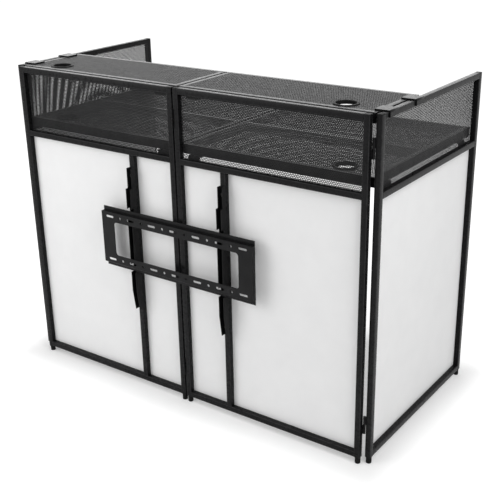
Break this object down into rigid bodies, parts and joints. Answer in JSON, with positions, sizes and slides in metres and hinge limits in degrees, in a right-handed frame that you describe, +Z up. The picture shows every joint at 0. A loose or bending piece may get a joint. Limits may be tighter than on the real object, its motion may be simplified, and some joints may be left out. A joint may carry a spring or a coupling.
{
  "type": "dj booth",
  "caption": "Folding DJ booth of black square tube: white scrim panels on front and wings, perforated table and shelf with cable grommets, and a slotted screen bracket in front.",
  "frame": {"origin": "middle of the booth's box on the floor, under the feet", "axes": "+X to the right as seen by the audience, +Y from the front to the working side, +Z up"},
  "size_m": [1.431, 0.7272, 1.104],
  "materials": {
    "powder_coat": "satin",
    "bracket_coat": "satin",
    "perforated_sheet": "satin",
    "scrim_cloth": "matte",
    "black_plastic": "matte"
  },
  "bodies": {
    "left_front": {"left_front_posts": "powder_coat", "left_front_rails": "powder_coat", "left_front_upright": "powder_coat", "left_front_mesh": "perforated_sheet", "left_front_scrim": "scrim_cloth", "left_front_feet": "black_plastic", "left_front_post_caps": "black_plastic", "left_front_shelf_ledge": "powder_coat", "left_front_table_ledge": "powder_coat", "left_screen_arm": "bracket_coat", "left_corner_hinge_front_halves": "powder_coat", "centre_hinge_left_halves": "powder_coat"},
    "left_wing": {"left_wing_posts": "powder_coat", "left_wing_rails": "powder_coat", "left_wing_mesh": "perforated_sheet", "left_wing_scrim": "scrim_cloth", "left_wing_feet": "black_plastic", "left_wing_post_caps": "black_plastic", "left_wing_table_ledges": "powder_coat", "left_corner_hinge_wing_halves": "powder_coat"},
    "left_shelf": {"left_shelf_frame": "powder_coat", "left_shelf_mesh": "perforated_sheet", "left_shelf_hooks": "bracket_coat", "left_shelf_grommet_and_plugs": "black_plastic"},
    "left_table": {"left_table_frame": "powder_coat", "left_table_mesh": "perforated_sheet", "left_table_grommet_and_plugs": "black_plastic"},
    "right_front": {"right_front_posts": "powder_coat", "right_front_rails": "powder_coat", "right_front_upright": "powder_coat", "right_front_mesh": "perforated_sheet", "right_front_scrim": "scrim_cloth", "right_front_feet": "black_plastic", "right_front_post_caps": "black_plastic", "right_front_shelf_ledge": "powder_coat", "right_front_table_ledge": "powder_coat", "right_screen_arm": "bracket_coat", "right_corner_hinge_front_halves": "powder_coat", "centre_hinge_right_halves": "powder_coat"},
    "right_wing": {"right_wing_posts": "powder_coat", "right_wing_rails": "powder_coat", "right_wing_mesh": "perforated_sheet", "right_wing_scrim": "scrim_cloth", "right_wing_feet": "black_plastic", "right_wing_post_caps": "black_plastic", "right_wing_table_ledges": "powder_coat", "right_corner_hinge_wing_halves": "powder_coat"},
    "right_shelf": {"right_shelf_frame": "powder_coat", "right_shelf_mesh": "perforated_sheet", "right_shelf_hooks": "bracket_coat", "right_shelf_grommet_and_plugs": "black_plastic"},
    "right_table": {"right_table_frame": "powder_coat", "right_table_mesh": "perforated_sheet", "right_table_grommet_and_plugs": "black_plastic"},
    "screen_plate": {"screen_plate": "bracket_coat"}
  },
  "joints": [
    {"name": "left_wing_swing", "type": "hinge", "parent": "left_front", "child": "left_wing", "pos_m": [-0.6875, -0.31685, 0.561], "axis": [0, 0, 1], "range_deg": [0, 90]},
    {"name": "right_wing_swing", "type": "hinge", "parent": "right_front", "child": "right_wing", "pos_m": [0.6875, -0.31685, 0.561], "axis": [0, 0, -1], "range_deg": [0, 90]},
    {"name": "centre_fold", "type": "hinge", "parent": "left_front", "child": "right_front", "pos_m": [0, -0.33885, 0.561], "axis": [0, 0, -1], "range_deg": [0, 90]},
    {"name": "left_shelf_lift", "type": "slide", "parent": "left_wing", "child": "left_shelf", "axis": [0, 0, 1], "range_m": [0, 0.2]},
    {"name": "left_table_lift", "type": "slide", "parent": "left_wing", "child": "left_table", "axis": [0, 0, 1], "range_m": [0, 0.14]},
    {"name": "right_shelf_lift", "type": "slide", "parent": "right_wing", "child": "right_shelf", "axis": [0, 0, 1], "range_m": [0, 0.2]},
    {"name": "right_table_lift", "type": "slide", "parent": "right_wing", "child": "right_table", "axis": [0, 0, 1], "range_m": [0, 0.14]},
    {"name": "screen_plate_draw", "type": "slide", "parent": "left_front", "child": "screen_plate", "axis": [-0.7593, -0.6508, 0], "range_m": [0, 0.73]}
  ],
  "couplings": [
    {"joint": "screen_plate_draw", "follows": "centre_fold", "m_per_rad": 0.461}
  ]
}
